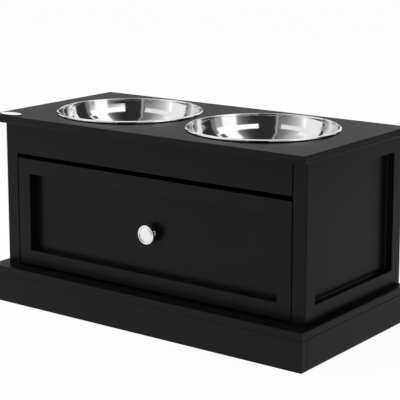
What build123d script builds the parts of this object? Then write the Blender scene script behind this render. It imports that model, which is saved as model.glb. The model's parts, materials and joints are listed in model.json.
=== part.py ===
from build123d import *
from math import atan, cos, degrees, pi, radians, sin, tan
import os

# Raised feeder for dogs: a low cabinet with a drawer, and two lift-out bowls in its top.
# Millimetres. X runs to the right, the drawer opens towards -Y, Z is up.
# The origin is the centre of the footprint, on the floor.

# ---------------------------------------------------------------- overall
base_width = 600.0
base_depth = 300.0
case_height = 305.0              # floor to the upper face of the top

# ---------------------------------------------------------------- boards
top_thickness = 12.0
base_thickness = 12.0
plinth_height = 46.0
plinth_thickness = 15.0
side_frame_thickness = 12.0
side_panel_thickness = 11.0
apron_thickness = 9.0
back_thickness = 9.0
frame_member = 25.0              # width of the side frame's rails and stiles

# ---------------------------------------------------------------- set-backs
ledge_front = 30.4               # base board in front of the case
ledge_side = 13.5                # base board beside the case
top_overhang_front = 24.0
top_overhang_side = 9.5
apron_height = 52.3

# ---------------------------------------------------------------- edges
top_rounding = 1.5
base_rounding = 1.5
board_rounding = 0.8
board_chamfer = 0.7
joint_chamfer = 0.6              # broken edges that show as a fine groove at a joint

# ---------------------------------------------------------------- back board
back_rebate = 8.0                # how far the back board lies in each side panel
fit_gap = 0.2                    # between a board and its groove or rebate

# ---------------------------------------------------------------- bowls
round_sides = 48                 # flats round a bowl or the knob
bowl_spacing = 258.8
rim_radius = 117.8
bead_radius = 2.0
bowl_sheet = 0.8
bowl_depth = 58.0                # rim to the inside of the flat bottom
wall_straight = 14.0             # height of the straight upper wall
wall_angle = 12.0                # lean of that wall, from upright
bowl_steps = 4                   # flats in the turn from wall to bottom
bead_steps = 3                   # flats round the rim's bead
rim_seat = 2.8                   # how far the rim reaches over the edge of its cut-out
seat_gap = 0.3                   # rim bead over the top board

# ---------------------------------------------------------------- blank plate on the top
badge_length = 42.0
badge_width = 22.0
badge_thickness = 1.6
badge_inset_side = 10.0
badge_inset_front = 2.4

# ---------------------------------------------------------------- drawer
drawer_side_gap = 1.6            # drawer front to case side
drawer_bottom_gap = 1.5
drawer_top_gap = 6.9
drawer_frame_thickness = 15.0
drawer_member = 24.2             # width of the drawer frame's rails and stiles
drawer_panel_thickness = 9.0
drawer_board = 12.0              # sides and back of the drawer box
drawer_box_height = 150.0
drawer_box_depth = 215.0
drawer_bottom_thickness = 4.0
drawer_bottom_height = 20.0      # underside of the bottom above the sides' lower edge
groove_depth = 5.0
front_groove_depth = 4.0

# ---------------------------------------------------------------- knob
knob_radius = 15.0
knob_projection = 15.0
knob_foot_radius = 7.4
knob_waist_radius = 5.6
knob_disc = 5.6                  # thickness of the disc, with its rounded back
knob_edge = 1.3                  # how far its edge is rounded
knob_ring = 0.6                  # ring round the face stands up this far
knob_ring_width = 1.8
knob_lower = 1.1                 # knob's centre below the middle of the drawer front
knob_thread_radius = 2.0
knob_thread_depth = 9.0

# ---------------------------------------------------------------- runners
runner_length = 200.0
runner_side_gap = 12.5           # drawer box to case side
runner_sheet = 1.2
runner_setback = 2.6             # runner's front end behind the drawer panel
runner_height_over_base = 4.0
channel_width = 10.4             # from the case side to the outer face of the lip
channel_lip = 3.0
rear_roller_radius = 9.2
front_roller_extra = 1.8         # front roller is larger by this, to lift the drawer
roller_width = 6.2
roller_gap = 0.3                 # roller to what it rolls on
roller_top_gap = 0.7             # rear roller to the channel's upper flange
drawer_travel = 150.0
stop_gap = 1.9                   # rear roller to the front stop, with the drawer out
stop_drop = 2.0                  # how far that stop hangs below the upper flange
rivet_clear = 0.35               # rear roller's rivet to the case member's web
front_roller_side_gap = 1.3      # front roller to the web it stands on
roller_from_end = 14.0           # front roller's axis behind the case member's front end
drawer_flange_outer = 9.6        # reach of the drawer member's upper flange
drawer_flange_lower = 11.0       # reach of its lower flange, under the drawer side
lower_flange_rise = 0.8          # that flange's underside above the case member's
axle_radius = 2.0
axle_head_radius = 3.6
axle_head = 1.0
running_gap = 0.05

# ---------------------------------------------------------------- fasteners
small_sides = 6                  # flats on small fasteners, which are plain forms
cam_sides = 8
screw_radius = 1.9
screw_head_radius = 3.6
screw_head_depth = 2.0
hole_gap = 0.1
base_screw_length = 35.0
back_screw_length = 18.0
runner_screw_length = 10.0
drawer_screw_length = 32.0
pan_head_radius = 4.0
pan_head = 2.4
cam_radius = 6.0
cam_depth = 8.5
cam_from_edge = 22.0
cam_bolt_radius = 2.5
cam_bolt_head_radius = 3.4
cam_bolt_head = 3.0
cam_bolt_hold = 9.0              # how deep a cam bolt sits in the board it screws into
dowel_radius = 3.0
dowel_length = 24.0
dowel_hold = 9.0                 # how deep a dowel sits in the first board it joins
case_screw_inset = 45.0          # insets are from the board's ends
top_cam_inset = 42.0
top_dowel_inset = 90.0
apron_dowel_inset = 14.0
back_screw_inset = 30.0
case_runner_screw_inset = 45.0
drawer_runner_screw_front = 30.0
drawer_runner_screw_back = 70.0
drawer_fastening_low = 45.0      # lower cam and back screw above the drawer side's edge
drawer_fastening_high = 25.0     # upper ones below its upper edge
corner_block_leg = 36.0
corner_block_height = 38.0

# ---------------------------------------------------------------- places worked out from the sizes
half_base = base_width / 2
base_front = -base_depth / 2
back_face = base_depth / 2
base_top = plinth_height + base_thickness
top_underside = case_height - top_thickness

case_half = half_base - ledge_side
case_front = base_front + ledge_front
panel_outer = case_half - side_frame_thickness
inner_face = panel_outer - side_panel_thickness
panel_middle = (panel_outer + inner_face) / 2

top_half = case_half + top_overhang_side
top_front = case_front - top_overhang_front
bowl_y = (top_front + back_face) / 2
bowl_hole_radius = rim_radius - rim_seat

drawer_half = inner_face - drawer_side_gap
drawer_low = base_top + drawer_bottom_gap
apron_low = top_underside - apron_height
drawer_high = apron_low - drawer_top_gap
drawer_panel_front = case_front + drawer_frame_thickness
drawer_panel_back = drawer_panel_front + drawer_panel_thickness
window_half = drawer_half - drawer_member
window_low = drawer_low + drawer_member
window_high = drawer_high - drawer_member
knob_z = (drawer_low + drawer_high) / 2 - knob_lower

runner_low = base_top + runner_height_over_base
channel_floor = runner_low + runner_sheet
channel_ceiling = channel_floor + roller_gap + 2 * rear_roller_radius + roller_top_gap
runner_front = drawer_panel_back + runner_setback
runner_back = runner_front + runner_length
front_roller_radius = rear_roller_radius + front_roller_extra
front_roller_y = runner_front + roller_from_end
front_roller_z = runner_low + runner_sheet + front_roller_radius
rear_roller_z = channel_floor + roller_gap + rear_roller_radius
rear_roller_y = runner_back - runner_sheet - roller_gap - rear_roller_radius
flange_front = rear_roller_y - rear_roller_radius - drawer_travel - stop_gap - runner_sheet
drawer_flange_z = front_roller_z + front_roller_radius + roller_gap

box_outer = inner_face - runner_side_gap
case_web_face = inner_face - runner_sheet
drawer_web_face = box_outer + runner_sheet
rear_roller_head = case_web_face - rivet_clear - axle_head - running_gap
rear_roller_side_gap = rear_roller_head - roller_width - drawer_web_face
box_inner = box_outer - drawer_board
box_low = runner_low + lower_flange_rise + runner_sheet
box_high = box_low + drawer_box_height
box_back = drawer_panel_back + drawer_box_depth
bottom_low = box_low + drawer_bottom_height
bottom_high = bottom_low + drawer_bottom_thickness

nodes = {}


# ---------------------------------------------------------------- helpers
def block(x_range, y_range, z_range):
    x0, x1 = sorted(x_range)
    y0, y1 = sorted(y_range)
    z0, z1 = sorted(z_range)
    body = Box(x1 - x0, y1 - y0, z1 - z0)
    return Pos((x0 + x1) / 2, (y0 + y1) / 2, (z0 + z1) / 2) * body


def rod(start, direction, length, radius):
    body = Cylinder(radius, length, align=(Align.CENTER, Align.CENTER, Align.MIN))
    return Plane(origin=start, z_dir=direction) * body


def prism(start, direction, length, radius, sides=small_sides):
    """A small round thing with few flats. The radius is that of the circle inside the flats."""
    outline = RegularPolygon(radius, sides, major_radius=False)
    return Plane(origin=start, z_dir=direction) * extrude(outline, length)


def turned(start, direction, outline):
    """A turned solid drawn with flats. Its outline is (radius, distance along the axis) points,
    from the middle of one flat end to the middle of the other."""
    turns = [2 * pi * i / round_sides for i in range(round_sides + 1)]
    rings = [[(r * cos(a), r * sin(a), along) for a in turns] for r, along in outline]
    faces = [Face(Wire.make_polygon(ring[:-1])) for ring in (rings[0], rings[-1])]
    for low, high in zip(rings, rings[1:]):
        for i in range(round_sides):
            faces.append(Face(Wire.make_polygon([low[i], low[i + 1], high[i + 1], high[i]])))
    return Plane(origin=start, z_dir=direction) * Solid(Shell(faces))


def countersunk_screw(start, direction, length, gap=0.0):
    """Start is the middle of the head's face. A gap makes the hole for the screw."""
    head = RegularPolygon(screw_head_radius + gap, small_sides, major_radius=False)
    lean = degrees(atan((screw_head_radius - screw_radius) / screw_head_depth))
    head = extrude(head, screw_head_depth, taper=lean)
    shank = RegularPolygon(screw_radius + gap, small_sides, major_radius=False)
    return Plane(origin=start, z_dir=direction) * (head + extrude(shank, length + gap))


def pan_screw(start, direction, length, radius):
    """Start is the middle of the head's seat."""
    back = [-value for value in direction]
    shank = prism(start, direction, length, radius)
    return shank + prism(start, back, pan_head, pan_head_radius)


def dowel(centre, direction, gap=0.0):
    """A round dowel about its centre. A gap makes the hole for it."""
    length = dowel_length + 2 * gap
    start = [c - d * length / 2 for c, d in zip(centre, direction)]
    return prism(start, direction, length, dowel_radius + gap)


def place_pairs(x_positions, y_positions):
    return [(x, y) for x in x_positions for y in y_positions]


def edges_at(part, axis, value, tolerance=0.01):
    """Edges that lie wholly in the plane at this value of the axis."""
    return part.edges().filter_by_position(axis, value - tolerance, value + tolerance)


def without(edges, left_out):
    return ShapeList(edge for edge in edges if edge not in left_out)


def group(solids):
    return Compound(children=[solid for item in solids for solid in item.solids()])


def add(name, shape):
    nodes[name] = shape


# ---------------------------------------------------------------- fastener places
case_screw_y = (case_front + case_screw_inset, back_face - case_screw_inset)
top_cam_y = (case_front + top_cam_inset, back_face - top_cam_inset)
top_dowel_y = (case_front + top_dowel_inset, back_face - top_dowel_inset)
cam_z = top_underside - cam_from_edge
apron_dowel_z = (apron_low + apron_dowel_inset, top_underside - apron_dowel_inset)
back_screw_z = (base_top + back_screw_inset, (base_top + top_underside) / 2,
                top_underside - back_screw_inset)
runner_screw_y = (runner_front + case_runner_screw_inset,
                  runner_back - case_runner_screw_inset)
drawer_screw_y = (runner_front + drawer_runner_screw_front,
                  runner_back - drawer_runner_screw_back)
runner_screw_z = (channel_floor + channel_ceiling) / 2
drawer_cam_z = (box_low + drawer_fastening_low, box_high - drawer_fastening_high)
drawer_cam_y = drawer_panel_back + cam_from_edge
drawer_side_middle = (box_outer + box_inner) / 2


def case_screws(gap=0.0):
    return [
        countersunk_screw((x, y, plinth_height), (0, 0, 1), base_screw_length, gap)
        for x, y in place_pairs((-panel_middle, panel_middle), case_screw_y)
    ]


def top_dowels(gap=0.0):
    return [
        dowel((x, y, top_underside + dowel_hold - dowel_length / 2), (0, 0, 1), gap)
        for x, y in place_pairs((-panel_middle, panel_middle), top_dowel_y)
    ]


def apron_dowels(gap=0.0):
    y = case_front + apron_thickness / 2
    return [
        dowel((side * (inner_face + dowel_hold - dowel_length / 2), y, z), (1, 0, 0), gap)
        for side in (-1, 1)
        for z in apron_dowel_z
    ]


def cam_bolt(start, direction, reach, gap=0.0):
    """From its end in the board it screws into to its head in the cam."""
    head_start = [c + d * (reach - cam_bolt_head - gap) for c, d in zip(start, direction)]
    shank = prism(start, direction, reach, cam_bolt_radius + gap)
    return shank + prism(head_start, direction, cam_bolt_head + 2 * gap, cam_bolt_head_radius + gap)


def top_bolts(gap=0.0):
    reach = cam_bolt_hold + cam_from_edge + cam_bolt_head / 2
    return [
        cam_bolt((x, y, top_underside + cam_bolt_hold), (0, 0, -1), reach, gap)
        for x, y in place_pairs((-panel_middle, panel_middle), top_cam_y)
    ]


def top_cams(gap=0.0):
    return [
        prism((side * inner_face, y, cam_z), (side, 0, 0), cam_depth + gap, cam_radius + gap,
              cam_sides)
        for side, y in place_pairs((-1, 1), top_cam_y)
    ]


def drawer_bolts(gap=0.0):
    reach = cam_bolt_hold + drawer_panel_thickness + cam_from_edge + cam_bolt_head / 2
    start_y = drawer_panel_front - cam_bolt_hold
    return [
        cam_bolt((x, start_y, z), (0, 1, 0), reach, gap)
        for x, z in place_pairs((-drawer_side_middle, drawer_side_middle), drawer_cam_z)
    ]


def drawer_cams(gap=0.0):
    return [
        prism((side * box_inner, drawer_cam_y, z), (side, 0, 0), cam_depth + gap,
              cam_radius + gap, cam_sides)
        for side, z in place_pairs((-1, 1), drawer_cam_z)
    ]


def back_screws(gap=0.0):
    x = inner_face + back_rebate / 2
    return [
        countersunk_screw((side * x, back_face, z), (0, -1, 0), back_screw_length, gap)
        for side in (-1, 1)
        for z in back_screw_z
    ]


def case_runner_screws(side, gap=0.0):
    x = side * (inner_face - runner_sheet)
    return [
        countersunk_screw((x, y, runner_screw_z), (side, 0, 0), runner_screw_length, gap)
        for y in runner_screw_y
    ]


def drawer_runner_screws(side, gap=0.0):
    x = side * (box_outer + runner_sheet)
    return [
        countersunk_screw((x, y, runner_screw_z), (-side, 0, 0), runner_screw_length, gap)
        for y in drawer_screw_y
    ]


def drawer_back_screws(gap=0.0):
    y = box_back - drawer_board / 2
    return [
        countersunk_screw((side * box_outer, y, z), (-side, 0, 0), drawer_screw_length, gap)
        for side in (-1, 1)
        for z in drawer_cam_z
    ]


def cut(part, tools):
    for tool in tools:
        part = part - tool
    return part


# ---------------------------------------------------------------- case
def make_top():
    top = block((-top_half, top_half), (top_front, back_face), (top_underside, case_height))
    top = fillet(edges_at(top, Axis.Z, case_height), top_rounding)
    top = chamfer(edges_at(top, Axis.Z, top_underside), board_chamfer)
    for side in (-1, 1):
        hole = rod((side * bowl_spacing / 2, bowl_y, top_underside), (0, 0, 1),
                   top_thickness, bowl_hole_radius)
        top = top - hole
    return cut(top, top_dowels(hole_gap) + top_bolts(hole_gap))


def make_side_frame(side):
    outer = side * case_half
    inner = side * panel_outer
    frame = block((inner, outer), (case_front, back_face), (base_top, top_underside))
    window = block((inner, outer), (case_front + frame_member, back_face - frame_member),
                   (base_top + frame_member, top_underside - frame_member))
    frame = frame - window
    seats = edges_at(frame, Axis.Z, base_top) + edges_at(frame, Axis.Z, top_underside)
    return fillet(without(edges_at(frame, Axis.X, outer), seats), board_rounding)


def make_side_panel(side):
    panel = block((side * inner_face, side * panel_outer), (case_front, back_face),
                  (base_top, top_underside))
    rebate = block((side * inner_face, side * (inner_face + back_rebate)),
                   (back_face - back_thickness, back_face), (base_top, top_underside))
    tools = case_screws(hole_gap) + top_dowels(hole_gap) + top_bolts(hole_gap)
    tools += top_cams(hole_gap) + apron_dowels(hole_gap) + back_screws(hole_gap)
    tools += case_runner_screws(side, hole_gap)
    return cut(panel - rebate, tools)


def make_apron():
    apron = block((-inner_face, inner_face), (case_front, case_front + apron_thickness),
                  (apron_low, top_underside))
    low_front = edges_at(apron, Axis.Z, apron_low).sort_by(Axis.Y)[0]
    apron = fillet(low_front, board_rounding)
    return cut(apron, apron_dowels(hole_gap))


def make_back():
    half = inner_face + back_rebate - fit_gap
    back = block((-half, half), (back_face - back_thickness, back_face),
                 (base_top, top_underside))
    return cut(back, back_screws(hole_gap))


def make_base_board():
    board = block((-half_base, half_base), (base_front, back_face), (plinth_height, base_top))
    board = fillet(edges_at(board, Axis.Z, base_top), base_rounding)
    board = chamfer(edges_at(board, Axis.Z, plinth_height), joint_chamfer)
    return cut(board, case_screws(hole_gap))


def make_plinth_long(side):
    outer = side * base_depth / 2
    inner = outer - side * plinth_thickness
    board = block((-half_base, half_base), (inner, outer), (0, plinth_height))
    upright = edges_at(board, Axis.Y, outer).filter_by(Axis.Z)
    board = fillet(upright, board_rounding)
    seams = edges_at(board, Axis.Y, inner).filter_by(Axis.Z)
    board = chamfer(seams, joint_chamfer)
    rim = edges_at(board, Axis.Z, plinth_height)
    return chamfer(without(rim, edges_at(board, Axis.Y, inner)), joint_chamfer)


def make_plinth_short(side):
    outer = side * half_base
    inner = outer - side * plinth_thickness
    reach = base_depth / 2 - plinth_thickness
    board = block((inner, outer), (-reach, reach), (0, plinth_height))
    outside = edges_at(board, Axis.X, outer)
    return chamfer(without(outside, edges_at(board, Axis.Z, 0)), joint_chamfer)


def make_corner_blocks():
    blocks = []
    x = half_base - plinth_thickness
    y = base_depth / 2 - plinth_thickness
    for side_x in (-1, 1):
        for side_y in (-1, 1):
            corner = (side_x * x, side_y * y)
            along_x = (side_x * (x - corner_block_leg), side_y * y)
            along_y = (side_x * x, side_y * (y - corner_block_leg))
            face = make_face(Polyline(corner, along_x, along_y, close=True))
            wedge = extrude(face, corner_block_height, dir=(0, 0, 1))
            blocks.append(Pos(0, 0, plinth_height - corner_block_height) * wedge)
    return group(blocks)


def make_cams(cams, bolts):
    """Cam locks, each with a way in for its bolt."""
    return group(cut(item, bolts) for item in cams)


# ---------------------------------------------------------------- bowls and plate
def make_bowl(side):
    """A wall of even thickness: bead, straight wall, round turn to the flat bottom."""
    lean = radians(wall_angle)
    rim_z = case_height + seat_gap + bead_radius
    bead_r = rim_radius - bead_radius
    inner_r = bead_r - bead_radius
    turn_r = inner_r - wall_straight * tan(lean)
    floor_z = rim_z + bead_radius - bowl_depth
    curve = (rim_z - wall_straight - floor_z) / (1 - sin(lean))
    centre_r = turn_r - curve * cos(lean)
    centre_z = floor_z + curve
    turn = [lean + (pi / 2 - lean) * i / bowl_steps for i in range(bowl_steps + 1)]
    roll = [pi * (i / bead_steps - 0.5) for i in range(bead_steps + 1)]

    def bend(radius):
        return [(centre_r + radius * cos(a), centre_z - radius * sin(a)) for a in turn]

    bead = [(bead_r + bead_radius * cos(a), rim_z + bead_radius * sin(a)) for a in roll]
    under_r = inner_r - bead_radius * tan(lean) + bowl_sheet / cos(lean)
    outside = bend(curve + bowl_sheet)[::-1] + [(under_r, rim_z - bead_radius)]
    outline = outside + bead + [(inner_r, rim_z)] + bend(curve)
    return turned((side * bowl_spacing / 2, bowl_y, 0), (0, 0, 1), outline)


def make_badge():
    x = -top_half + badge_inset_side + badge_length / 2
    y = top_front + badge_inset_front + badge_width / 2
    plate = extrude(Ellipse(badge_length / 2, badge_width / 2), badge_thickness)
    return Pos(x, y, case_height) * plate


# ---------------------------------------------------------------- drawer
def make_drawer_frame():
    frame = block((-drawer_half, drawer_half), (case_front, drawer_panel_front),
                  (drawer_low, drawer_high))
    window = block((-window_half, window_half), (case_front, drawer_panel_front),
                   (window_low, window_high))
    frame = fillet(edges_at(frame - window, Axis.Y, case_front), board_rounding)
    return cut(frame, drawer_bolts(hole_gap))


def make_drawer_panel():
    panel = block((-drawer_half, drawer_half), (drawer_panel_front, drawer_panel_back),
                  (drawer_low, drawer_high))
    groove_half = box_inner + groove_depth
    groove = block((-groove_half, groove_half),
                   (drawer_panel_back - front_groove_depth, drawer_panel_back),
                   (bottom_low, bottom_high + fit_gap))
    bore = prism((0, drawer_panel_front, knob_z), (0, 1, 0), drawer_panel_thickness,
                 knob_thread_radius + hole_gap)
    return cut(panel - groove - bore, drawer_bolts(hole_gap))


def make_drawer_side(side):
    board = block((side * box_inner, side * box_outer), (drawer_panel_back, box_back),
                  (box_low, box_high))
    top_edges = edges_at(board, Axis.Z, box_high).filter_by(Axis.Y)
    board = fillet(top_edges, board_rounding)
    groove = block((side * box_inner, side * (box_inner + groove_depth)),
                   (drawer_panel_back, box_back), (bottom_low, bottom_high + fit_gap))
    tools = drawer_cams(hole_gap) + drawer_bolts(hole_gap)
    tools += drawer_back_screws(hole_gap) + drawer_runner_screws(side, hole_gap)
    return cut(board - groove, tools)


def make_drawer_back():
    board = block((-box_inner, box_inner), (box_back - drawer_board, box_back),
                  (box_low, box_high))
    top_edges = edges_at(board, Axis.Z, box_high).filter_by(Axis.X)
    board = fillet(top_edges, board_rounding)
    groove = block((-box_inner, box_inner),
                   (box_back - drawer_board, box_back - drawer_board + groove_depth),
                   (bottom_low, bottom_high + fit_gap))
    return cut(board - groove, drawer_back_screws(hole_gap))


def make_drawer_bottom():
    half = box_inner + groove_depth - fit_gap
    front = drawer_panel_back - front_groove_depth + fit_gap
    back = box_back - drawer_board + groove_depth - fit_gap
    return block((-half, half), (front, back), (bottom_low, bottom_high))


def make_knob():
    """A foot, a drawn-in waist, and a disc with a low ring round its face."""
    neck = knob_projection - knob_disc
    ring = knob_radius - knob_edge
    field = ring - knob_ring_width
    outline = [
        (knob_foot_radius, 0), (knob_waist_radius, neck / 2), (knob_foot_radius, neck),
        (knob_radius, neck + knob_edge), (knob_radius, knob_projection - knob_edge),
        (ring, knob_projection), (field, knob_projection), (field, knob_projection - knob_ring),
    ]
    body = turned((0, drawer_panel_front, knob_z), (0, -1, 0), outline)
    return body - prism((0, drawer_panel_front, knob_z), (0, -1, 0),
                        knob_thread_depth + hole_gap, knob_thread_radius + hole_gap)


def make_knob_screw():
    length = drawer_panel_thickness + knob_thread_depth
    return pan_screw((0, drawer_panel_back, knob_z), (0, -1, 0), length, knob_thread_radius)


# ---------------------------------------------------------------- runners
def make_case_runner(side):
    """A channel on the case side. Its front end carries a roller, beyond the flanges."""
    wall = side * inner_face
    web_face = side * (inner_face - runner_sheet)
    lip_face = side * (inner_face - channel_width)
    lip_inner = side * (inner_face - channel_width + runner_sheet)
    flange_y = (flange_front, runner_back)
    web = block((wall, web_face), (runner_front, runner_back),
                (runner_low, channel_ceiling + runner_sheet))
    floor = block((web_face, lip_face), flange_y, (runner_low, channel_floor))
    ceiling = block((web_face, lip_face), flange_y,
                    (channel_ceiling, channel_ceiling + runner_sheet))
    lip = block((lip_face, lip_inner), flange_y, (channel_floor, channel_floor + channel_lip))
    rear_stop = block((web_face, lip_face), (runner_back - runner_sheet, runner_back),
                      (channel_floor, channel_ceiling))
    front_stop = block((web_face, lip_face), (flange_front, flange_front + runner_sheet),
                       (channel_ceiling - stop_drop, channel_ceiling))
    runner = web + floor + ceiling + lip + rear_stop + front_stop
    return cut(runner, case_runner_screws(side, hole_gap))


def make_drawer_runner(side):
    """An angle on the drawer side: one flange under the side, one out over the roller."""
    wall = side * box_outer
    web_face = side * (box_outer + runner_sheet)
    low = box_low - runner_sheet
    high = drawer_flange_z + runner_sheet
    web = block((wall, web_face), (runner_front, runner_back), (low, high))
    upper = block((web_face, side * (box_outer + runner_sheet + drawer_flange_outer)),
                  (runner_front, runner_back), (drawer_flange_z, high))
    lower = block((wall, side * (box_outer - drawer_flange_lower)),
                  (runner_front, runner_back), (low, box_low))
    return cut(web + upper + lower, drawer_runner_screws(side, hole_gap))


def make_roller(start, direction, radius):
    bore = rod(start, direction, roller_width, axle_radius + running_gap)
    return rod(start, direction, roller_width, radius) - bore


def make_axle(web_face, direction, roller_start):
    """A shouldered rivet: it stands on the web and its head holds the roller."""
    shank = roller_start + roller_width + running_gap
    head_start = [c + d * shank for c, d in zip(web_face, direction)]
    return rod(web_face, direction, shank, axle_radius) + prism(
        head_start, direction, axle_head, axle_head_radius)


def make_front_roller(side):
    start = (side * (case_web_face - front_roller_side_gap), front_roller_y, front_roller_z)
    return make_roller(start, (-side, 0, 0), front_roller_radius)


def make_rear_roller(side):
    start = (side * (drawer_web_face + rear_roller_side_gap), rear_roller_y, rear_roller_z)
    return make_roller(start, (side, 0, 0), rear_roller_radius)


def make_front_axles():
    return group(
        make_axle((side * case_web_face, front_roller_y, front_roller_z), (-side, 0, 0),
                  front_roller_side_gap)
        for side in (-1, 1))


def make_rear_axles():
    return group(
        make_axle((side * drawer_web_face, rear_roller_y, rear_roller_z), (side, 0, 0),
                  rear_roller_side_gap)
        for side in (-1, 1))


# ---------------------------------------------------------------- nodes
add("top_panel", make_top())
add("left_side_frame", make_side_frame(-1))
add("right_side_frame", make_side_frame(1))
add("left_side_panel", make_side_panel(-1))
add("right_side_panel", make_side_panel(1))
add("front_apron", make_apron())
add("back_panel", make_back())
add("base_board", make_base_board())
add("plinth_front", make_plinth_long(-1))
add("plinth_back", make_plinth_long(1))
add("plinth_left", make_plinth_short(-1))
add("plinth_right", make_plinth_short(1))
add("plinth_corner_blocks", make_corner_blocks())
add("badge_plate", make_badge())
add("bowl_left", make_bowl(-1))
add("bowl_right", make_bowl(1))

add("drawer_front_frame", make_drawer_frame())
add("drawer_front_panel", make_drawer_panel())
add("drawer_left_side", make_drawer_side(-1))
add("drawer_right_side", make_drawer_side(1))
add("drawer_back", make_drawer_back())
add("drawer_bottom", make_drawer_bottom())
add("knob", make_knob())
add("knob_screw", make_knob_screw())

add("left_case_runner", make_case_runner(-1))
add("right_case_runner", make_case_runner(1))
add("left_drawer_runner", make_drawer_runner(-1))
add("right_drawer_runner", make_drawer_runner(1))
add("front_left_roller", make_front_roller(-1))
add("front_right_roller", make_front_roller(1))
add("rear_left_roller", make_rear_roller(-1))
add("rear_right_roller", make_rear_roller(1))
add("front_roller_axles", make_front_axles())
add("rear_roller_axles", make_rear_axles())

add("case_screws", group(case_screws()))
add("back_screws", group(back_screws()))
add("case_runner_screws", group(case_runner_screws(-1) + case_runner_screws(1)))
add("drawer_runner_screws", group(drawer_runner_screws(-1) + drawer_runner_screws(1)))
add("drawer_back_screws", group(drawer_back_screws()))
add("top_cams", make_cams(top_cams(), top_bolts(hole_gap)))
add("top_cam_bolts", group(top_bolts()))
add("top_dowels", group(top_dowels()))
add("apron_dowels", group(apron_dowels()))
add("drawer_cams", make_cams(drawer_cams(), drawer_bolts(hole_gap)))
add("drawer_cam_bolts", group(drawer_bolts()))

os.makedirs("parts", exist_ok=True)
for name, shape in nodes.items():
    shape.label = name
    export_step(shape, f"parts/{name}.step")
    print(name, len(shape.solids()), round(shape.volume))
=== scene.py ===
import json
import math

import bmesh
import bpy
from mathutils import Matrix, Vector

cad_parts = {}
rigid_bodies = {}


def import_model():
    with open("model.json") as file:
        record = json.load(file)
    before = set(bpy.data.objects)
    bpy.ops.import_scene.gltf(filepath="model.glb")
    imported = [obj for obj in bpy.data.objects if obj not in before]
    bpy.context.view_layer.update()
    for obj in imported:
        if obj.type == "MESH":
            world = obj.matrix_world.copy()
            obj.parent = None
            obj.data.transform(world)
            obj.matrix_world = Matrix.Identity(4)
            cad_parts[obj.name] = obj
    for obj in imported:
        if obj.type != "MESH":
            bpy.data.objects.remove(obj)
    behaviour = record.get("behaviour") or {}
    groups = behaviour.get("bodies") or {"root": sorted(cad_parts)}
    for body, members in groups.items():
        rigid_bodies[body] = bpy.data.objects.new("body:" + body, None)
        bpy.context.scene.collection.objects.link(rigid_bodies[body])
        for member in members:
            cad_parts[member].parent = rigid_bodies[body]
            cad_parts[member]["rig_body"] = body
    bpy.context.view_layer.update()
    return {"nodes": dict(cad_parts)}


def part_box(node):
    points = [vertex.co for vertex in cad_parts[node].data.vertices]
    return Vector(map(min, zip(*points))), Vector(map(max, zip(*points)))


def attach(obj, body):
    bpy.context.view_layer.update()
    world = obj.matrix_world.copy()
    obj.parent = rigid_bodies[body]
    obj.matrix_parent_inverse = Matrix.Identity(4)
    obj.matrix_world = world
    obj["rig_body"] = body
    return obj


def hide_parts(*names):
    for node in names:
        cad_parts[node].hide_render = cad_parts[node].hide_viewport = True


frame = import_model()
scene = bpy.context.scene
scene.view_settings.view_transform = "Standard"
print("frame loaded")


# small tools for selecting and shaping
def deselectAll():
    if bpy.context.object and bpy.context.object.mode != "OBJECT":
        bpy.ops.object.mode_set(mode="OBJECT")
    bpy.ops.object.select_all(action="DESELECT")


def pick(piece):
    deselectAll()
    piece.select_set(True)
    bpy.context.view_layer.objects.active = piece


def applyModifiers(piece):
    pick(piece)
    for modifier in list(piece.modifiers):
        bpy.ops.object.modifier_apply(modifier=modifier.name)


def bakePlace(piece):
    pick(piece)
    bpy.ops.object.transform_apply(location=True, rotation=True, scale=True)


def smoothByAngle(piece, degrees=38):
    pick(piece)
    bpy.ops.object.shade_smooth_by_angle(angle=math.radians(degrees))


def spunSheet(name, outline, centre, axis, steps, angle):
    # a small plane is merged to a point, drawn out along the outline and swept round the axis
    deselectAll()
    bpy.ops.mesh.primitive_plane_add(size=0.001, location=outline[0])
    piece = bpy.context.object
    piece.name = name
    bpy.ops.object.transform_apply(location=True, rotation=True, scale=True)
    bpy.ops.object.mode_set(mode="EDIT")
    bpy.ops.mesh.select_all(action="SELECT")
    bpy.ops.mesh.merge(type="CENTER")
    for here, there in zip(outline, outline[1:]):
        step = Vector(there) - Vector(here)
        bpy.ops.mesh.extrude_region_move(TRANSFORM_OT_translate={"value": step})
    bpy.ops.mesh.select_all(action="SELECT")
    bpy.ops.mesh.spin(steps=steps, angle=angle, center=centre, axis=axis)
    bpy.ops.object.mode_set(mode="OBJECT")
    return piece


turnedSeam = 0.00001  # points this near are merged where a full turn closes


def turnedPiece(name, outline, centre, axis, steps):
    piece = spunSheet(name, outline, centre, axis, steps, 2 * math.pi)
    bpy.ops.object.mode_set(mode="EDIT")
    bpy.ops.mesh.select_all(action="SELECT")
    bpy.ops.mesh.remove_doubles(threshold=turnedSeam)
    bpy.ops.mesh.normals_make_consistent(inside=False)
    bpy.ops.object.mode_set(mode="OBJECT")
    return piece


def arcPoints(centre, radius, fromDegrees, toDegrees, count):
    turns = [math.radians(fromDegrees + (toDegrees - fromDegrees) * i / count)
             for i in range(count + 1)]
    return [(centre[0] + radius * math.cos(t), centre[1] + radius * math.sin(t)) for t in turns]


# material parts
def newMaterial(name):
    material = bpy.data.materials.new(name)
    material.use_nodes = True
    return material, material.node_tree.nodes, material.node_tree.links


def grey(shade):
    return (shade, shade, shade, 1)


def objectPattern(nodes, links, scale=(1, 1, 1), location=(0, 0, 0)):
    coordinates = nodes.new("ShaderNodeTexCoord")
    mapping = nodes.new("ShaderNodeMapping")
    mapping.inputs["Location"].default_value = location
    mapping.inputs["Scale"].default_value = scale
    links.new(coordinates.outputs["Object"], mapping.inputs["Vector"])
    return mapping.outputs["Vector"]


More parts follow.
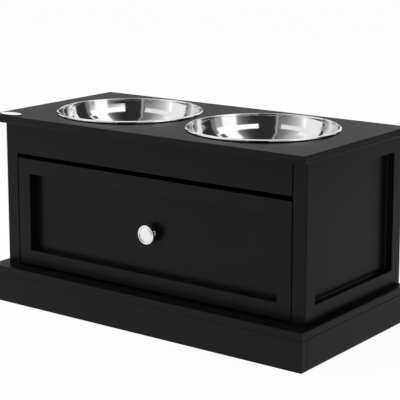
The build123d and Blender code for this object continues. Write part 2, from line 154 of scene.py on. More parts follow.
def noiseFrom(nodes, links, vector, scale, detail):
    noise = nodes.new("ShaderNodeTexNoise")
    noise.inputs["Scale"].default_value = scale
    noise.inputs["Detail"].default_value = detail
    links.new(vector, noise.inputs["Vector"])
    return noise.outputs["Fac"]


def mapTo(nodes, links, value, low, high, fromLow=0.3, fromHigh=0.7):
    # the usual span of a noise, 0.3 to 0.7, is taken unless another one is given
    ramp = nodes.new("ShaderNodeMapRange")
    ramp.inputs["From Min"].default_value = fromLow
    ramp.inputs["From Max"].default_value = fromHigh
    ramp.inputs["To Min"].default_value = low
    ramp.inputs["To Max"].default_value = high
    links.new(value, ramp.inputs["Value"])
    return ramp.outputs["Result"]


def colourMix(nodes, links, value, first, second):
    mix = nodes.new("ShaderNodeMix")
    mix.data_type = "RGBA"
    mix.inputs["A"].default_value = (*first, 1)
    mix.inputs["B"].default_value = (*second, 1)
    links.new(value, mix.inputs["Factor"])
    return mix.outputs["Result"]


def bumpFrom(nodes, links, height, strength, distance):
    bump = nodes.new("ShaderNodeBump")
    bump.inputs["Strength"].default_value = strength
    bump.inputs["Distance"].default_value = distance
    links.new(height, bump.inputs["Height"])
    return bump.outputs["Normal"]


def mathOf(nodes, links, operation, first, second):
    # second is another node's output, or a number
    result = nodes.new("ShaderNodeMath")
    result.operation = operation
    links.new(first, result.inputs[0])
    if isinstance(second, float):
        result.inputs[1].default_value = second
    else:
        links.new(second, result.inputs[1])
    return result.outputs["Value"]


def glowOf(nodes, strength=1.0):
    glow = nodes.new("ShaderNodeEmission")
    glow.inputs["Strength"].default_value = strength
    return glow


def shaderMix(nodes, links, share, first, second):
    mix = nodes.new("ShaderNodeMixShader")
    links.new(share, mix.inputs["Fac"])
    links.new(first, mix.inputs[1])
    links.new(second, mix.inputs[2])
    return mix.outputs["Shader"]


# camera: azimuth and elevation in degrees, as seen from the target, and the lens in millimetres
cameraSettings = {
    "azimuth": 36.727, "elevation": 10.52, "distance": 2.1609,
    "target": (0.01108, 0.0032, 0.27424), "lens": 125.06, "sensor": 36, "shift": -0.15,
    "near": 0.05, "far": 60,
}


def addCamera():
    azimuth = math.radians(cameraSettings["azimuth"])
    elevation = math.radians(cameraSettings["elevation"])
    back = Vector((math.sin(azimuth) * math.cos(elevation),
                   -math.cos(azimuth) * math.cos(elevation), math.sin(elevation)))
    place = Vector(cameraSettings["target"]) + back * cameraSettings["distance"]
    deselectAll()
    bpy.ops.object.camera_add(location=place)
    camera = bpy.context.object
    camera.name = "camera"
    camera.rotation_mode = "QUATERNION"
    camera.rotation_quaternion = (-back).to_track_quat("-Z", "Y")
    camera.data.sensor_width = cameraSettings["sensor"]
    camera.data.lens = cameraSettings["lens"]
    camera.data.shift_y = cameraSettings["shift"]
    camera.data.clip_start, camera.data.clip_end = cameraSettings["near"], cameraSettings["far"]
    scene.camera = camera


addCamera()
print("camera placed")

# studio: a white floor, a soft sky, one large lamp, and a tent of graded sheets
# and cards round the object that the steel mirrors
studio = {
    "skySeen": 1.0, "skyLight": 0.75, "floorWidth": 24, "floorWhite": 0.88, "floorGlow": 0.94,
    "lamp": {"place": (-0.7, -1.0, 2.3), "aim": (0, 0, 0.2), "size": 2.6, "energy": 34.0},
}


def seenByEye(nodes, links):
    # 1 for a ray from the camera, off a mirror or through glass, 0 for one that only brings light
    rays = nodes.new("ShaderNodeLightPath")
    direct = mathOf(nodes, links, "MAXIMUM", rays.outputs["Is Camera Ray"],
                    rays.outputs["Is Glossy Ray"])
    return mathOf(nodes, links, "MAXIMUM", direct, rays.outputs["Is Transmission Ray"])


def whiteSky(nodes, strength):
    sky = nodes.new("ShaderNodeBackground")
    sky.inputs["Color"].default_value = grey(1)
    sky.inputs["Strength"].default_value = strength
    return sky.outputs["Background"]


def makeSky():
    world = bpy.data.worlds.new("studioSky")
    scene.world = world
    world.use_nodes = True
    nodes, links = world.node_tree.nodes, world.node_tree.links
    nodes.clear()
    output = nodes.new("ShaderNodeOutputWorld")
    sky = shaderMix(nodes, links, seenByEye(nodes, links), whiteSky(nodes, studio["skyLight"]),
                    whiteSky(nodes, studio["skySeen"]))
    links.new(sky, output.inputs["Surface"])


def makeFloor():
    deselectAll()
    bpy.ops.mesh.primitive_plane_add(size=studio["floorWidth"], location=(0, 0, 0))
    floor = bpy.context.object
    floor.name = "studioFloor"
    material, nodes, links = newMaterial("studioFloor")
    nodes.clear()
    output = nodes.new("ShaderNodeOutputMaterial")
    paper = nodes.new("ShaderNodeBsdfDiffuse")
    paper.inputs["Color"].default_value = grey(studio["floorWhite"])
    share = mathOf(nodes, links, "MULTIPLY", seenByEye(nodes, links), studio["floorGlow"])
    surface = shaderMix(nodes, links, share, paper.outputs["BSDF"],
                        glowOf(nodes).outputs["Emission"])
    links.new(surface, output.inputs["Surface"])
    floor.data.materials.append(material)


def addLamp():
    lampSettings = studio["lamp"]
    place = Vector(lampSettings["place"])
    deselectAll()
    bpy.ops.object.light_add(type="AREA", location=place)
    lamp = bpy.context.object
    lamp.name = "studioLamp"
    lamp.rotation_mode = "QUATERNION"
    lamp.rotation_quaternion = (Vector(lampSettings["aim"]) - place).to_track_quat("-Z", "Y")
    lamp.data.shape = "SQUARE"
    lamp.data.size = lampSettings["size"]
    lamp.data.energy = lampSettings["energy"]
    lamp.visible_glossy = False


def onlyMirrored(card):
    card.visible_camera = False
    card.visible_diffuse = False
    card.visible_shadow = False


# the tent is a sheet in front of the object and above it, square to the camera. Its shades are
# places across, in metres to the camera's right, each with its brightness. Between the two
# spread heights a place comes to count as spreadShare of itself, so the shades move apart
tent = {
    "distance": 2.0, "height": 4.8, "foot": 0.02, "reachBack": -0.3,
    "spreadShare": 0.83, "spreadHeights": (1.4, 2.5),
    "shades": ((-7.0, 1.3), (-6.0, 1.3), (-3.6, 0.68), (-2.4, 0.46), (-1.5, 0.23), (-0.84, 0.14),
               (-0.82, 0.8), (-0.78, 0.8), (-0.76, 0.028), (0.5, 0.028), (0.8, 0.05),
               (1.05, 0.085), (1.3, 0.15), (1.7, 0.29), (1.92, 1.25), (9.0, 1.0)),
}


def tentSheet(low, high):
    deselectAll()
    bpy.ops.mesh.primitive_plane_add(size=1, location=(0, 0, 0))
    sheet = bpy.context.object
    sheet.name = "studioTent"
    bpy.ops.object.mode_set(mode="EDIT")
    bpy.ops.mesh.select_all(action="SELECT")
    bpy.ops.mesh.merge(type="CENTER")
    bpy.ops.transform.translate(value=(low, -tent["distance"], tent["foot"]))
    bpy.ops.mesh.extrude_region_move(TRANSFORM_OT_translate={"value": (high - low, 0, 0)})
    bpy.ops.mesh.select_all(action="SELECT")
    bpy.ops.mesh.extrude_region_move(
        TRANSFORM_OT_translate={"value": (0, 0, tent["height"] - tent["foot"])})
    bpy.ops.mesh.extrude_region_move(
        TRANSFORM_OT_translate={"value": (0, tent["distance"] + tent["reachBack"], 0)})
    bpy.ops.object.mode_set(mode="OBJECT")
    sheet.rotation_euler.z = math.radians(cameraSettings["azimuth"])
    return sheet


def makeTent():
    first, *between, last = tent["shades"]
    low, high = first[0], last[0]
    sheet = tentSheet(low, high)
    material, nodes, links = newMaterial("studioTent")
    nodes.clear()
    output = nodes.new("ShaderNodeOutputMaterial")
    glow = glowOf(nodes)
    coordinates = nodes.new("ShaderNodeTexCoord")
    parts = nodes.new("ShaderNodeSeparateXYZ")
    links.new(coordinates.outputs["Object"], parts.inputs["Vector"])
    spread = mapTo(nodes, links, parts.outputs["Z"], 1.0, tent["spreadShare"],
                   *tent["spreadHeights"])
    across = mathOf(nodes, links, "MULTIPLY", parts.outputs["X"], spread)
    ramp = nodes.new("ShaderNodeValToRGB")
    stops = ramp.color_ramp.elements
    stops[0].position, stops[1].position = 0, 1
    stops[0].color, stops[1].color = grey(first[1]), grey(last[1])
    for place, shade in between:
        stop = stops.new((place - low) / (high - low))
        stop.color = grey(shade)
    links.new(mapTo(nodes, links, across, 0, 1, low, high), ramp.inputs["Fac"])
    links.new(ramp.outputs["Color"], glow.inputs["Color"])
    links.new(glow.outputs["Emission"], output.inputs["Surface"])
    sheet.data.materials.append(material)
    onlyMirrored(sheet)


# cards and light strips, each a patch of a sphere round the object: two azimuths counted from
# the camera to its right, two elevations, the brightness and the sphere's radius
cards = {
    "stripRight": (9, 84, 16.5, 30, 1.4, 1.8),
    "stripLeft": (-84, -29, 16.5, 30, 0.95, 1.8),
    "shadeRight": (67, 84, -8, 13, 0.42, 1.75),
    "shadeSide": (80, 89, -8, 28, 0.2, 1.72),
    "flagRight": (88, 113, -8, 42, 0.03, 1.7),
    "flagRightHigh": (74, 84, 31, 43, 0.1, 1.7),
    "flagRightBack": (123, 135, -8, 30, 0.05, 1.7),
    "flagLeft": (-119, -110, -8, 36, 0.06, 1.7),
    "flagLeftBack": (-156, -142, -8, 30, 0.08, 1.7),
    "flagBehind": (166, 194, -2, 22, 0.3, 6.0),
}
cardSphere = {"height": 0.3, "rows": 8, "columns": 12}
floorCard = {"place": (2.8515, 1.0, 0.0005), "scale": (5.1, 8, 1), "brightness": 0.6}


def glowingCard(card, brightness):
    material, nodes, links = newMaterial(card.name)
    nodes.clear()
    output = nodes.new("ShaderNodeOutputMaterial")
    links.new(glowOf(nodes, brightness).outputs["Emission"], output.inputs["Surface"])
    card.data.materials.append(material)
    onlyMirrored(card)


def makeCards():
    for name, (fromAzimuth, toAzimuth, low, high, brightness, radius) in cards.items():
        start = math.radians(toAzimuth)
        outline = [(reach * math.sin(start), -reach * math.cos(start), rise)
                   for reach, rise in arcPoints((0, 0), radius, low, high, cardSphere["rows"])]
        card = spunSheet(name, outline, (0, 0, 0), (0, 0, 1), cardSphere["columns"],
                         math.radians(toAzimuth - fromAzimuth))
        card.location.z = cardSphere["height"]
        card.rotation_euler.z = math.radians(cameraSettings["azimuth"])
        glowingCard(card, brightness)


def makeFloorCard():
    deselectAll()
    bpy.ops.mesh.primitive_plane_add(size=1, location=floorCard["place"])
    card = bpy.context.object
    card.name = "flagOnFloor"
    card.scale = floorCard["scale"]
    glowingCard(card, floorCard["brightness"])


makeSky()
makeFloor()
addLamp()
makeTent()
makeCards()
makeFloorCard()
print("studio set")

# paint on the boards: two near blacks in clouds, and a fine grain
paint = {
    "colour": (0.0025, 0.0025, 0.0025), "lift": (0.0038, 0.0038, 0.0038), "specular": 0.132,
    "roughLow": 0.27, "roughHigh": 0.33, "cloudScale": 9.0, "cloudDetail": 4.0,
    "grainScale": 900.0, "grainDetail": 2.0, "grainBump": 0.03, "grainDepth": 0.0004,
}

# the other finishes: two colours in a grain, and the range of their roughness.
# usualFinish holds what most of them share
usualFinish = {
    "metallic": 0.0, "specular": 0.5, "stretch": (1, 1, 1), "detail": 4.0, "bump": 0.1,
    "depth": 0.0003,
}
plainFinishes = {
    "paleSatinMetal": {"colour": (0.95, 0.95, 0.94), "second": (0.91, 0.91, 0.90), "scale": 300.0,
                       "metallic": 0.1, "rough": (0.3, 0.42), "bump": 0.03},
    "blackFacedBoard": {"colour": (0.006, 0.006, 0.006), "second": (0.012, 0.012, 0.012),
                        "scale": 260.0, "rough": (0.5, 0.62), "specular": 0.3},
    "bareSoftwood": {"colour": (0.60, 0.42, 0.25), "second": (0.44, 0.28, 0.15), "scale": 34.0,
                     "stretch": (0.12, 1, 1), "rough": (0.55, 0.7), "bump": 0.2, "depth": 0.0004},
    "polishedNickel": {"colour": (0.86, 0.86, 0.87), "second": (0.80, 0.80, 0.81), "scale": 40.0,
                       "metallic": 1.0, "rough": (0.12, 0.2), "bump": 0.02},
    "blackPowderCoat": {"colour": (0.012, 0.012, 0.012), "second": (0.02, 0.02, 0.02),
                        "scale": 700.0, "rough": (0.45, 0.6), "bump": 0.3, "depth": 0.0002},
    "whiteNylon": {"colour": (0.78, 0.78, 0.75), "second": (0.7, 0.7, 0.67), "scale": 120.0,
                   "rough": (0.4, 0.5), "bump": 0.08},
    "zincPlate": {"colour": (0.62, 0.62, 0.64), "second": (0.5, 0.5, 0.53), "scale": 300.0,
                  "metallic": 1.0, "rough": (0.25, 0.4), "depth": 0.0001},
}


def blackPaint():
    material, nodes, links = newMaterial("satinBlackPaint")
    shader = nodes["Principled BSDF"]
    shader.inputs["Specular IOR Level"].default_value = paint["specular"]
    place = objectPattern(nodes, links)
    cloud = noiseFrom(nodes, links, place, paint["cloudScale"], paint["cloudDetail"])
    fine = noiseFrom(nodes, links, place, paint["grainScale"], paint["grainDetail"])
    links.new(colourMix(nodes, links, mapTo(nodes, links, cloud, 0, 1), paint["colour"],
                        paint["lift"]), shader.inputs["Base Color"])
    links.new(mapTo(nodes, links, cloud, paint["roughLow"], paint["roughHigh"]),
              shader.inputs["Roughness"])
    links.new(bumpFrom(nodes, links, fine, paint["grainBump"], paint["grainDepth"]),
              shader.inputs["Normal"])
    return material


def plainMaterial(name):
    settings = {**usualFinish, **plainFinishes[name]}
    material, nodes, links = newMaterial(name)
    shader = nodes["Principled BSDF"]
    shader.inputs["Metallic"].default_value = settings["metallic"]
    shader.inputs["Specular IOR Level"].default_value = settings["specular"]
    place = objectPattern(nodes, links, settings["stretch"])
    grain = noiseFrom(nodes, links, place, settings["scale"], settings["detail"])
    links.new(colourMix(nodes, links, mapTo(nodes, links, grain, 0, 1), settings["colour"],
                        settings["second"]), shader.inputs["Base Color"])
    links.new(mapTo(nodes, links, grain, *settings["rough"]), shader.inputs["Roughness"])
    links.new(bumpFrom(nodes, links, grain, settings["bump"], settings["depth"]),
              shader.inputs["Normal"])
    return material


blackPaintFinish = blackPaint()
badgeFinish = plainMaterial("paleSatinMetal")
boardFinish = plainMaterial("blackFacedBoard")
woodFinish = plainMaterial("bareSoftwood")
nickelFinish = plainMaterial("polishedNickel")
runnerFinish = plainMaterial("blackPowderCoat")
nylonFinish = plainMaterial("whiteNylon")
zincFinish = plainMaterial("zincPlate")

slotFinishes = {
    "black_paint": blackPaintFinish, "black_board": boardFinish, "bare_wood": woodFinish,
    "polished_metal": nickelFinish, "runner_steel": runnerFinish, "roller_nylon": nylonFinish,
    "plated_steel": zincFinish,
}
print("finishes mixed")

# bowls: a spun shell with a rolled rim, listed by radius and height. The wall turns into the
# floor round turnCentre, from straight down to turnEnd degrees
bowl = {
    "centres": {"left": (-0.1294, 0.0032), "right": (0.1294, 0.0032)}, "spinHeight": 0.28,
    "steps": 160, "sheet": 0.0008, "floorHeight": 0.2513, "floorRings": 6,
    "turnCentre": (0.05897, 0.30432), "turnRadius": 0.05302, "turnEnd": -12, "turnSteps": 26,
    "wall": [(0.1116, 0.2969), (0.1124, 0.3006), (0.11325, 0.3047)],
    "bead": [(0.1134, 0.3064), (0.1135, 0.3077), (0.1137, 0.3086), (0.1141, 0.3091),
             (0.1146, 0.3093), (0.1151, 0.30923), (0.1157, 0.3090), (0.1164, 0.30865),
             (0.1170, 0.3082), (0.1174, 0.3078), (0.11767, 0.3073), (0.1178, 0.3068),
             (0.11768, 0.3062), (0.1173, 0.3057), (0.1167, 0.3054), (0.1158, 0.3053)],
    "outerWall": [(0.11419, 0.3053), (0.1134, 0.3016), (0.1117, 0.2936)],
    "smoothAngle": 50,
}
bowlSteel = {
    "colour": (0.80, 0.80, 0.81, 1), "roughLow": 0.05, "roughHigh": 0.11,
    "smearScale": 22.0, "smearDetail": 3.0,
    "ringScale": 1300.0, "ringDetail": 2.0, "ringBump": 0.12, "ringDepth": 0.0001,
}


def spunSteel(name, centre):
    # rings of the spinning tool lie round the bowl's own axis
    material, nodes, links = newMaterial(name)
    shader = nodes["Principled BSDF"]
    shader.inputs["Base Color"].default_value = bowlSteel["colour"]
    shader.inputs["Metallic"].default_value = 1.0
    place = objectPattern(nodes, links, location=(-centre[0], -centre[1], 0))
    flat = nodes.new("ShaderNodeVectorMath")
    flat.operation = "MULTIPLY"
    flat.inputs[1].default_value = (1, 1, 0)
    links.new(place, flat.inputs[0])
    reach = nodes.new("ShaderNodeVectorMath")
    reach.operation = "LENGTH"
    links.new(flat.outputs["Vector"], reach.inputs[0])
    parts = nodes.new("ShaderNodeSeparateXYZ")
    links.new(place, parts.inputs["Vector"])
    ringPlace = nodes.new("ShaderNodeCombineXYZ")
    links.new(reach.outputs["Value"], ringPlace.inputs["X"])
    links.new(parts.outputs["Z"], ringPlace.inputs["Y"])
    rings = noiseFrom(nodes, links, ringPlace.outputs["Vector"], bowlSteel["ringScale"],
                      bowlSteel["ringDetail"])
    smears = noiseFrom(nodes, links, place, bowlSteel["smearScale"], bowlSteel["smearDetail"])
    links.new(mapTo(nodes, links, smears, bowlSteel["roughLow"], bowlSteel["roughHigh"]),
              shader.inputs["Roughness"])
    links.new(bumpFrom(nodes, links, rings, bowlSteel["ringBump"], bowlSteel["ringDepth"]),
              shader.inputs["Normal"])
    return material


def bowlProfile(centre):
    turnX, rings = bowl["turnCentre"][0], bowl["floorRings"]
    inside = bowl["floorHeight"]
    outside = inside - bowl["sheet"]
    outline = [(turnX * i / rings, inside) for i in range(rings)]
    outline += arcPoints(bowl["turnCentre"], bowl["turnRadius"], -90, bowl["turnEnd"],
                         bowl["turnSteps"])
    outline += bowl["wall"] + bowl["bead"] + bowl["outerWall"]
    outline += arcPoints(bowl["turnCentre"], bowl["turnRadius"] + bowl["sheet"], bowl["turnEnd"],
                         -90, bowl["turnSteps"])[1:]
    outline += [(turnX * i / rings, outside) for i in range(rings - 1, -1, -1)]
    return [(centre[0] + r, centre[1], z) for r, z in outline]


def makeBowls():
    for side, centre in bowl["centres"].items():
        piece = turnedPiece("steelBowl_" + side, bowlProfile(centre),
                            (*centre, bowl["spinHeight"]), (0, 0, 1), bowl["steps"])
        smoothByAngle(piece, bowl["smoothAngle"])
        piece.data.materials.append(spunSteel("spunSteel_" + side, centre))
        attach(piece, side + "_bowl")
        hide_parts("bowl_" + side)


makeBowls()
print("bowls made")

# knob: turned face with a shallow ring, on a flared neck, listed by radius and distance out
# from its foot on the drawer's sunk panel
knob = {
    "height": 0.14555, "foot": -0.1046, "steps": 96, "smoothAngle": 40,
    "outline": [(0.0, 0.0), (0.0089, 0.0), (0.0092, 0.0003), (0.0092, 0.0011), (0.00905, 0.0019),
                (0.0087, 0.0027), (0.0081, 0.0034), (0.0073, 0.0039), (0.0064, 0.0042),
                (0.0058, 0.0044), (0.0056, 0.0050), (0.0058, 0.0064), (0.0066, 0.0078),
                (0.0078, 0.0089), (0.0098, 0.0098), (0.0126, 0.0104),
                (0.0144, 0.0108), (0.01495, 0.0113), (0.0150, 0.0120), (0.0150, 0.0134),
                (0.01492, 0.0142), (0.0147, 0.0147), (0.0143, 0.0150), (0.0129, 0.0150),
                (0.0125, 0.0148), (0.0122, 0.0143), (0.0119, 0.0138), (0.0114, 0.0138),
                (0.0110, 0.0142), (0.0103, 0.01445), (0.0060, 0.0146), (0.0, 0.01465)],
}


def makeKnob():
    profile = [(r, knob["foot"] - out, knob["height"]) for r, out in knob["outline"]]
    piece = turnedPiece("drawerKnob", profile, (0, 0, knob["height"]), (0, 1, 0), knob["steps"])
    smoothByAngle(piece, knob["smoothAngle"])
    piece.data.materials.append(nickelFinish)
    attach(piece, "drawer")
    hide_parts("knob")


makeKnob()
print("knob made")


# small fittings: screws with a cross recess, cam locks, rivets and rollers
def crossCut(piece, size, depth, faceHeight=0.0):
    # two crossed blades, each twice the size long and half of it wide, cut the recess
    for turn in (0, math.pi / 2):
        deselectAll()
        bpy.ops.mesh.primitive_cube_add(size=1, location=(0, 0, faceHeight))
        blade = bpy.context.object
        blade.scale = (size * 2, size * 0.5, depth * 2)
        blade.rotation_euler.z = turn
        bakePlace(blade)
        cutter = piece.modifiers.new("crossRecess", "BOOLEAN")
        cutter.operation = "DIFFERENCE"
        cutter.object = blade
        applyModifiers(piece)
        bpy.data.objects.remove(blade)


def turnedFitting(outline, steps, cross=None):
    # turned upright from radius and height, and cut where cross gives the recess
    piece = turnedPiece("fitting", [(r, 0, z) for r, z in outline], (0, 0, 0), (0, 0, 1), steps)
    if cross:
        crossCut(piece, *cross)
    smoothByAngle(piece)
    return piece


def bothSides(x, spots, direction):
    # the same places at the left and at the right: spots are y and z, and direction is the
    # one at the right
    return [((side * x, y, z), (side * direction[0], direction[1], direction[2]))
            for side in (-1, 1) for y, z in spots]


def placeCopies(name, master, places, node):
    # one master, copied to each place and turned from up to the direction given
    copies = []
    for place, direction in places:
        mesh = master.data.copy()
        turn = Vector((0, 0, 1)).rotation_difference(Vector(direction)).to_matrix().to_4x4()
        mesh.transform(Matrix.Translation(Vector(place)) @ turn)
        copy = bpy.data.objects.new(name, mesh)
        scene.collection.objects.link(copy)
        copies.append(copy)
    bpy.data.objects.remove(master)
    pick(copies[0])
    for copy in copies:
        copy.select_set(True)
    bpy.ops.object.join()
    group = bpy.context.object
    group.name = name
    group.data.materials.clear()
    group.data.materials.append(zincFinish)
    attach(group, frame["nodes"][node]["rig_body"])
    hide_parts(node)


def threadPoints(thread, start, end):
    # ridges down the shank
    points = []
    along = start
    while along < end:
        points += [(thread["shank"], along), (thread["crest"], along + thread["ridge"] / 2),
                   (thread["shank"], along + thread["ridge"])]
        along += thread["pitch"]
    return points


# countersunk screws by radius and distance along: the head from its face, the point back from
# the end. plainNeck and plainEnd are the lengths without a thread
screw = {
    "head": [(0, 0), (0.00328, 0), (0.00358, 0.00012), (0.00175, 0.002)],
    "thread": {"shank": 0.00175, "crest": 0.00187, "pitch": 0.0013, "ridge": 0.0007},
    "plainNeck": 0.0032, "plainEnd": 0.003,
    "point": [(0.00175, 0.0022), (0.0006, 0.0001), (0, 0.00005)],
    "cross": (0.0021, 0.0013), "steps": 24,
}
# for each node the screws' length, and their places
screwPlaces = {
    "case_screws": (0.035, bothSides(0.269, ((-0.0746, 0.046), (0.105, 0.046)), (0, 0, 1))),
    "back_screws": (0.018, bothSides(0.2675, ((0.15, 0.088), (0.15, 0.1755), (0.15, 0.263)),
                                     (0, -1, 0))),
    "case_runner_screws": (0.010, bothSides(0.2623, ((-0.048, 0.0729), (0.062, 0.0729)),
                                            (1, 0, 0))),
    "drawer_runner_screws": (0.010, bothSides(0.2522, ((-0.063, 0.0729), (0.037, 0.0729)),
                                              (-1, 0, 0))),
    "drawer_back_screws": (0.032, bothSides(0.251, ((0.1134, 0.109), (0.1134, 0.189)),
                                            (-1, 0, 0))),
}


def makeScrews():
    for node, (length, places) in screwPlaces.items():
        outline = screw["head"] + threadPoints(screw["thread"], screw["plainNeck"],
                                               length - screw["plainEnd"])
        outline += [(r, length - back) for r, back in screw["point"]]
        master = turnedFitting(outline, screw["steps"], screw["cross"])
        placeCopies("crossHead_" + node, master, places, node)


# the knob's screw by radius and distance from its bearing face, with the domed head below 0
knobScrew = {
    "head": [(0, -0.0024), (0.0022, -0.00235), (0.0033, -0.0019), (0.0039, -0.0010),
             (0.0040, -0.0003), (0.0040, 0), (0.00175, 0)],
    "thread": {"shank": 0.00175, "crest": 0.0019, "pitch": 0.0007, "ridge": 0.0004},
    "threadFrom": 0.0006, "threadTo": 0.0172, "end": [(0.0014, 0.0179), (0, 0.01795)],
    "cross": (0.0022, 0.0012, -0.0024), "steps": 24,
    "place": (0, -0.0956, 0.14555), "direction": (0, -1, 0),
}


def makeKnobScrew():
    outline = knobScrew["head"] + threadPoints(knobScrew["thread"], knobScrew["threadFrom"],
                                               knobScrew["threadTo"]) + knobScrew["end"]
    master = turnedFitting(outline, knobScrew["steps"], knobScrew["cross"])
    placeCopies("panHead_knob_screw", master, [(knobScrew["place"], knobScrew["direction"])],
                "knob_screw")


cam = {
    "outline": [(0, 0.0004), (0.0046, 0.0004), (0.0049, 0.00005), (0.0058, 0), (0.00598, 0.0003),
                (0.00598, 0.0021), (0.0053, 0.0025), (0.0053, 0.0066), (0.00598, 0.007),
                (0.00598, 0.0082), (0.0057, 0.00845), (0, 0.00845)],
    "cross": (0.0032, 0.0021, 0.0004), "steps": 40,
    "places": {
        "top_cams": bothSides(0.2635, ((-0.0776, 0.271), (0.108, 0.271)), (1, 0, 0)),
        "drawer_cams": bothSides(0.239, ((-0.0736, 0.109), (-0.0736, 0.189)), (1, 0, 0)),
    },
}


def makeCams():
    for node, places in cam["places"].items():
        master = turnedFitting(cam["outline"], cam["steps"], cam["cross"])
        placeCopies("camLock_" + node, master, places, node)


# rollers: where each one's left face has its middle, and its radius. All have one section,
# with a dished web between the hub and the rim
rollerPlaces = {
    "front_left_roller": (-0.261, -0.079, 0.0742, 0.011),
    "front_right_roller": (0.2548, -0.079, 0.0742, 0.011),
    "rear_left_roller": (-0.2609, 0.0963, 0.0727, 0.0092),
    "rear_right_roller": (0.2547, 0.0963, 0.0727, 0.0092),
}
roller = {
    "width": 0.0062, "bore": 0.00215, "hub": 0.0044, "rimThickness": 0.0022, "dish": 0.0011,
    "edge": 0.0002, "hubEdge": 0.0003, "slope": 0.0004, "treadEdge": 0.0006, "steps": 56,
    "smoothAngle": 40,
}


def rollerOutline(radius):
    bore, hub, dish, edge = roller["bore"], roller["hub"], roller["dish"], roller["edge"]
    rim = radius - roller["rimThickness"]
    side = [(bore, edge), (bore + edge, 0), (hub, 0), (hub + roller["hubEdge"], edge),
            (hub + roller["slope"], dish), (rim - roller["slope"], dish), (rim - edge, edge),
            (rim, 0), (radius - roller["treadEdge"], 0), (radius - edge, edge),
            (radius, roller["treadEdge"])]
    otherSide = [(r, roller["width"] - along) for r, along in reversed(side)]
    return side + otherSide + side[:1]


def makeRollers():
    for node, (x, y, z, radius) in rollerPlaces.items():
        outline = [(x + along, y, z + r) for r, along in rollerOutline(radius)]
        wheel = turnedPiece("roller_" + node, outline, (x, y, z), (1, 0, 0), roller["steps"])
        smoothByAngle(wheel, roller["smoothAngle"])
        wheel.data.materials.append(nylonFinish)
        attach(wheel, frame["nodes"][node]["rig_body"])
        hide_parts(node)


# rivets stand on a runner's web and end in a head past the roller: spot is y and z, web and
# end are x. The head is listed by radius and distance back from the end
rivetPlaces = {
    "front_roller_axles": {"spot": (-0.079, 0.0742), "web": 0.2623, "end": 0.25375},
    "rear_roller_axles": {"spot": (0.0963, 0.0727), "web": 0.2522, "end": 0.26195},
}
rivet = {
    "shank": 0.00198, "steps": 32,
    "head": [(0.0036, 0.001), (0.0036, 0.0007), (0.0032, 0.0003), (0.0022, 0.00005), (0, 0)],
}


def makeRivets():
    for node, settings in rivetPlaces.items():
        web, end = settings["web"], settings["end"]
        length = abs(end - web)
        headDepth = rivet["head"][0][1]
        outline = [(0, 0), (rivet["shank"], 0), (rivet["shank"], length - headDepth)]
        outline += [(r, length - back) for r, back in rivet["head"]]
        master = turnedFitting(outline, rivet["steps"])
        way = 1 if end > web else -1
        places = bothSides(web, [settings["spot"]], (way, 0, 0))
        placeCopies("rivet_" + node, master, places, node)


makeScrews()
makeKnobScrew()
makeCams()
makeRollers()
makeRivets()
print("fittings made")

# boards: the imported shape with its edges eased, as sanded and painted boards are.
# edge is the wide easing where two of the outer faces meet, fine that of the other edges.
# outer is where those faces lie: x to either side, y and z. flush is an axis and the level on
# it where the board's edges lie against its neighbour and stay sharp. relief is how far the
# front corner at the board's right end is cut back, for the open joint there
boards = {
    "top_panel": {"edge": 0.0016, "fine": 0.0005, "outer": (0.296, -0.1436, 0.305),
                  "flush": (2, 0.293)},
    "left_side_frame": {"edge": 0.0008, "fine": 0.0005, "outer": (0.2865, -0.1196, None),
                        "flush": (0, 0.2745)},
    "right_side_frame": {"edge": 0.0018, "fine": 0.0005, "outer": (0.2865, -0.1196, None),
                         "flush": (0, 0.2745)},
    "drawer_front_frame": {"edge": 0.0008, "fine": 0.0005, "flush": (1, 0.1046)},
    "base_board": {"edge": 0.0014, "fine": 0.0006, "outer": (0.3, -0.15, 0.058)},
    "plinth_front": {"edge": 0.0016, "fine": 0.0005, "outer": (0.3, -0.15, None)},
    "badge_plate": {"edge": 0.0004, "fine": 0.0004},
    "front_apron": {"edge": 0.0003, "fine": 0.0003, "relief": 0.0018},
}
evenlyEased = {
    "plinth_back": 0.0006, "plinth_left": 0.0005, "plinth_right": 0.0005,
    "back_panel": 0.0003, "drawer_left_side": 0.0006, "drawer_right_side": 0.0006,
    "drawer_back": 0.0006, "left_case_runner": 0.0002, "right_case_runner": 0.0002,
    "left_drawer_runner": 0.0002, "right_drawer_runner": 0.0002, "plinth_corner_blocks": 0.0006,
}
for easedName, easedEdge in evenlyEased.items():
    boards[easedName] = {"edge": easedEdge, "fine": easedEdge}

# angles in degrees. An edge is eased from easedFrom on, and stays a crease from creaseFrom on
easing = {
    "segments": 3, "easedFrom": 38, "creaseFrom": 45, "flatWithin": 0.5, "mergeWithin": 0.000002,
    "onFace": 0.00002, "onOuterFace": 0.0001, "flatWeight": 100,
}
badge = {"node": "badge_plate", "faceUp": 0.75}  # what faces up is bare metal; its edges take the black paint, a painted shadow line under the plate


def slotOf(node):
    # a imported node's material is named for its slot
    return node.data.materials[0].name.split(".")[0]


def relieveCorner(shape, relief):
    reach = max(corner.co.x for corner in shape.verts)
    front = min(corner.co.y for corner in shape.verts)
    for corner in shape.verts:
        if corner.co.x > reach - easing["onFace"] and corner.co.y < front + easing["onFace"]:
            corner.co.x -= relief


def isFlush(ends, settings):
    if "flush" not in settings:
        return False
    axis, level = settings["flush"]
    return all(abs(abs(end[axis]) - level) < easing["onFace"] for end in ends)


def outerFacesMet(ends, outer):
    middle = (ends[0] + ends[1]) / 2
    spots = (abs(middle.x), middle.y, middle.z)
    return sum(level is not None and abs(spot - level) < easing["onOuterFace"]
               for spot, level in zip(spots, outer))


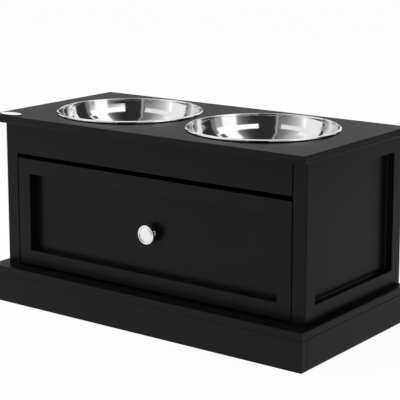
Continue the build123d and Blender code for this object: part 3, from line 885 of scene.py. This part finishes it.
def weighEdges(piece, settings):
    # how much of the easing each sharp edge takes
    shape = bmesh.new()
    shape.from_mesh(piece.data)
    weights = shape.edges.layers.float.new("bevel_weight_edge")
    if "relief" in settings:
        relieveCorner(shape, settings["relief"])
    sharp = math.radians(easing["easedFrom"])
    for edge in shape.edges:
        ends = [corner.co for corner in edge.verts]
        if len(edge.link_faces) != 2 or edge.calc_face_angle() < sharp or isFlush(ends, settings):
            continue
        outermost = outerFacesMet(ends, settings.get("outer", ())) >= 2
        edge[weights] = 1.0 if outermost else settings["fine"] / settings["edge"]
    shape.to_mesh(piece.data)
    shape.free()


def creaseEdges(piece):
    # all faces are smooth up to the edges that stay creases
    shape = bmesh.new()
    shape.from_mesh(piece.data)
    crease = math.radians(easing["creaseFrom"])
    for face in shape.faces:
        face.smooth = True
    for edge in shape.edges:
        edge.smooth = len(edge.link_faces) != 2 or edge.calc_face_angle(0) < crease
    shape.to_mesh(piece.data)
    shape.free()


def easedCopy(name, settings):
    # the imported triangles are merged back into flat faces, whose edges are then eased
    piece = bpy.data.objects.new("eased_" + name, frame["nodes"][name].data.copy())
    scene.collection.objects.link(piece)
    pick(piece)
    bpy.ops.object.mode_set(mode="EDIT")
    bpy.ops.mesh.select_all(action="SELECT")
    bpy.ops.mesh.remove_doubles(threshold=easing["mergeWithin"])
    bpy.ops.mesh.dissolve_limited(angle_limit=math.radians(easing["flatWithin"]))
    bpy.ops.object.mode_set(mode="OBJECT")
    weighEdges(piece, settings)
    bevel = piece.modifiers.new("easedEdges", "BEVEL")
    bevel.width = settings["edge"]
    bevel.segments = easing["segments"]
    bevel.limit_method = "WEIGHT"
    applyModifiers(piece)
    creaseEdges(piece)
    flats = piece.modifiers.new("flatFaces", "WEIGHTED_NORMAL")
    flats.weight = easing["flatWeight"]
    flats.keep_sharp = True
    applyModifiers(piece)
    return piece


def easeBoard(name, settings):
    node = frame["nodes"][name]
    piece = easedCopy(name, settings)
    slot = slotOf(node)
    piece.data.materials.clear()
    if name == badge["node"]:
        piece.data.materials.append(badgeFinish)
        piece.data.materials.append(blackPaintFinish)
        # the plate's edges take the black paint, which stands in for the shadow line under the
        # plate: painted shadow
        for face in piece.data.polygons:
            face.material_index = 0 if face.normal.z > badge["faceUp"] else 1
    else:
        piece.data.materials.append(slotFinishes[slot])
    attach(piece, node["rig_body"])
    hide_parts(name)
    low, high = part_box(name)
    for corner in piece.data.vertices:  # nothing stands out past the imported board
        corner.co = [min(max(corner.co[i], low[i]), high[i]) for i in range(3)]


for boardName, boardSettings in boards.items():
    easeBoard(boardName, boardSettings)
print("boards eased")

# a thread of paint has gathered in the corner round each sunk side panel: across and up are
# the recess's edges in y and z, level is how far its floor lies from the middle
paintBead = {"leg": 0.0010, "level": 0.2745, "across": (-0.0946, 0.125), "up": (0.083, 0.268)}


def makeBead(side, out):
    # a ring of four corners with three points each, all moved to their places: the root, one
    # in on the panel and one out on the frame
    deselectAll()
    bpy.ops.mesh.primitive_torus_add(major_segments=4, minor_segments=3, major_radius=0.1,
                                     minor_radius=0.01, location=(0, 0, 0))
    piece = bpy.context.object
    piece.name = "paintBead_" + side + "_side_recess"
    leg = paintBead["leg"]
    ringCorners = ((0, 0), (1, 0), (1, 1), (0, 1))
    for i, corner in enumerate(piece.data.vertices):
        a, b = ringCorners[i // 3]
        x, y, z = out * paintBead["level"], paintBead["across"][a], paintBead["up"][b]
        if i % 3 == 1:
            y += leg * (1 - 2 * a)
            z += leg * (1 - 2 * b)
        if i % 3 == 2:
            x += leg * out
        corner.co = (x, y, z)
    pick(piece)
    bpy.ops.object.mode_set(mode="EDIT")
    bpy.ops.mesh.select_all(action="SELECT")
    bpy.ops.mesh.normals_make_consistent(inside=False)
    bpy.ops.object.mode_set(mode="OBJECT")
    piece.data.materials.append(blackPaintFinish)
    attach(piece, "cabinet")


makeBead("left", -1)
makeBead("right", 1)
print("paint beads made")

# what still shows as packed takes the finish of its slot. The bowls' slot has none in the
# list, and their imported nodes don't show
for name, node in frame["nodes"].items():
    finish = slotFinishes.get(slotOf(node), nickelFinish)
    node.data.materials.clear()
    node.data.materials.append(finish)
